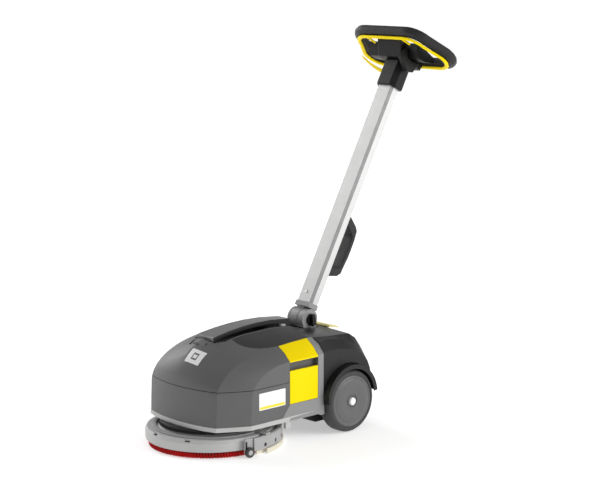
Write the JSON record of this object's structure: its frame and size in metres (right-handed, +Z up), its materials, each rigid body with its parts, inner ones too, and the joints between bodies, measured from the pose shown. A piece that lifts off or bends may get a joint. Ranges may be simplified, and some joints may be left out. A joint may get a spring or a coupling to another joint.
{
  "type": "floor scrubber machine",
  "caption": "Compact walk-behind disc floor scrubber: domed twin-tank body over a round brush, swivel squeegee, two wheels and a tilting push pole with a ring handle.",
  "frame": {"origin": "floor level, at the middle of the part's outer box", "axes": "+X to the machine's left wheel, +Y to the operator at the rear, +Z up"},
  "size_m": [0.368, 0.8906, 0.982],
  "materials": {
    "hood_grey": "satin",
    "black": "satin",
    "satin_black": "satin",
    "light_grey": "matte",
    "yellow": "satin",
    "pale_yellow": "matte",
    "bristle_red": "matte",
    "casting_grey": "satin",
    "anodised": "satin",
    "steel": "satin",
    "tyre": "matte",
    "wheel_grey": "satin",
    "white": "satin",
    "beige_rubber": "matte",
    "soft_black": "matte",
    "motor": "matte",
    "screen": "gloss"
  },
  "bodies": {
    "chassis": {"chassis_frame": "light_grey", "left_side_panel": "yellow", "right_side_panel": "yellow", "top_cover": "satin_black", "rear_housing": "black", "left_wheel_arch": "black", "right_wheel_arch": "black", "underbody_pan": "black", "brush_deck": "light_grey", "deck_collar": "black", "brush_gearbox": "motor", "brush_motor": "motor", "hinge_base": "casting_grey", "hinge_pin": "steel", "wheel_axle": "steel", "battery_pack": "black", "controller_box": "motor", "suction_turbine": "motor"},
    "tanks": {"clean_water_tank": "hood_grey", "dirty_water_tank": "hood_grey", "handle_well_tray": "black", "tank_carry_handle": "hood_grey"},
    "left_latch": {"left_latch": "yellow"},
    "right_latch": {"right_latch": "yellow"},
    "battery_door": {"battery_door": "black"},
    "battery_release": {"battery_release": "pale_yellow"},
    "brush": {"brush_bristles": "bristle_red", "brush_plate": "black", "drive_hub": "motor"},
    "squeegee": {"squeegee_carrier": "casting_grey", "squeegee_front_blade": "beige_rubber", "squeegee_rear_blade": "beige_rubber", "squeegee_swivel_ring": "casting_grey", "left_roller_bracket": "casting_grey", "right_roller_bracket": "casting_grey"},
    "left_roller": {"left_roller": "tyre"},
    "right_roller": {"right_roller": "tyre"},
    "left_wheel": {"left_tyre": "tyre", "left_wheel_disc": "wheel_grey", "left_hub_cap": "white"},
    "right_wheel": {"right_tyre": "tyre", "right_wheel_disc": "wheel_grey", "right_hub_cap": "white"},
    "pole": {"pole_yoke": "casting_grey", "pole_tube": "anodised", "pole_foot_screw": "steel", "carry_grip": "soft_black", "lower_grip_screw": "steel", "upper_grip_screw": "steel", "handle_clamp": "black", "steering_ring": "soft_black", "control_head": "black", "battery_display": "screen", "cable_pod": "black"},
    "clamp_knob": {"clamp_knob": "black"},
    "start_bail": {"start_bail": "yellow"},
    "power_button": {"power_button": "yellow"},
    "mode_button": {"mode_button": "satin_black"},
    "clamp_lever": {"clamp_lever": "yellow"}
  },
  "joints": [
    {"name": "tank_lift", "type": "slide", "parent": "chassis", "child": "tanks", "axis": [0, 0, 1], "range_m": [0, 0.04]},
    {"name": "left_latch_swing", "type": "hinge", "parent": "chassis", "child": "left_latch", "pos_m": [0.1222, -0.1758, 0.2445], "axis": [0, -1, 0], "range_deg": [0, 35]},
    {"name": "right_latch_swing", "type": "hinge", "parent": "chassis", "child": "right_latch", "pos_m": [-0.1222, -0.1758, 0.2445], "axis": [0, 1, 0], "range_deg": [0, 35]},
    {"name": "battery_door_swing", "type": "hinge", "parent": "chassis", "child": "battery_door", "pos_m": [0, 0.1194, 0.0958], "axis": [-1, 0, 0], "range_deg": [0, 75]},
    {"name": "battery_release_press", "type": "hinge", "parent": "chassis", "child": "battery_release", "pos_m": [0, 0.0692, 0.2376], "axis": [-1, 0, 0], "range_deg": [0, 9], "stiffness_Nm_per_rad": 0.4, "springref_deg": -8.59},
    {"name": "brush_spin", "type": "hinge", "parent": "chassis", "child": "brush", "pos_m": [0, -0.2878, 0], "axis": [0, 0, 1], "continuous": true},
    {"name": "squeegee_swivel", "type": "hinge", "parent": "chassis", "child": "squeegee", "pos_m": [0, -0.2878, 0.046], "axis": [0, 0, 1], "range_deg": [-90, 90]},
    {"name": "left_roller_spin", "type": "hinge", "parent": "squeegee", "child": "left_roller", "pos_m": [0.16813, -0.31293, 0.013], "axis": [0.989, -0.1478, 0], "continuous": true},
    {"name": "right_roller_spin", "type": "hinge", "parent": "squeegee", "child": "right_roller", "pos_m": [-0.16813, -0.31293, 0.013], "axis": [-0.989, -0.1478, 0], "continuous": true},
    {"name": "left_wheel_spin", "type": "hinge", "parent": "chassis", "child": "left_wheel", "pos_m": [0.178, 0.0182, 0.078], "axis": [1, 0, 0], "continuous": true},
    {"name": "right_wheel_spin", "type": "hinge", "parent": "chassis", "child": "right_wheel", "pos_m": [-0.178, 0.0182, 0.078], "axis": [1, 0, 0], "continuous": true},
    {"name": "pole_tilt", "type": "hinge", "parent": "chassis", "child": "pole", "pos_m": [0, 0.0192, 0.2595], "axis": [-1, 0, 0], "range_deg": [-86, 30]},
    {"name": "clamp_knob_turn", "type": "hinge", "parent": "chassis", "child": "clamp_knob", "pos_m": [0.024, 0.0192, 0.2595], "axis": [1, 0, 0], "range_deg": [0, 150]},
    {"name": "start_bail_squeeze", "type": "slide", "parent": "pole", "child": "start_bail", "axis": [0, 0.5807, 0.8141], "range_m": [0, 0.003], "stiffness_N_per_m": 400, "springref_m": -0.004},
    {"name": "power_button_press", "type": "slide", "parent": "pole", "child": "power_button", "axis": [0, -0.5804, -0.8144], "range_m": [0, 0.002], "stiffness_N_per_m": 250, "springref_m": -0.001},
    {"name": "mode_button_press", "type": "slide", "parent": "pole", "child": "mode_button", "axis": [0, -0.5804, -0.8144], "range_m": [0, 0.002], "stiffness_N_per_m": 250, "springref_m": -0.001},
    {"name": "clamp_lever_swing", "type": "hinge", "parent": "pole", "child": "clamp_lever", "pos_m": [-0.041, 0.34719, 0.85859], "axis": [0, -0.8771, 0.4802], "range_deg": [0, 20]}
  ]
}
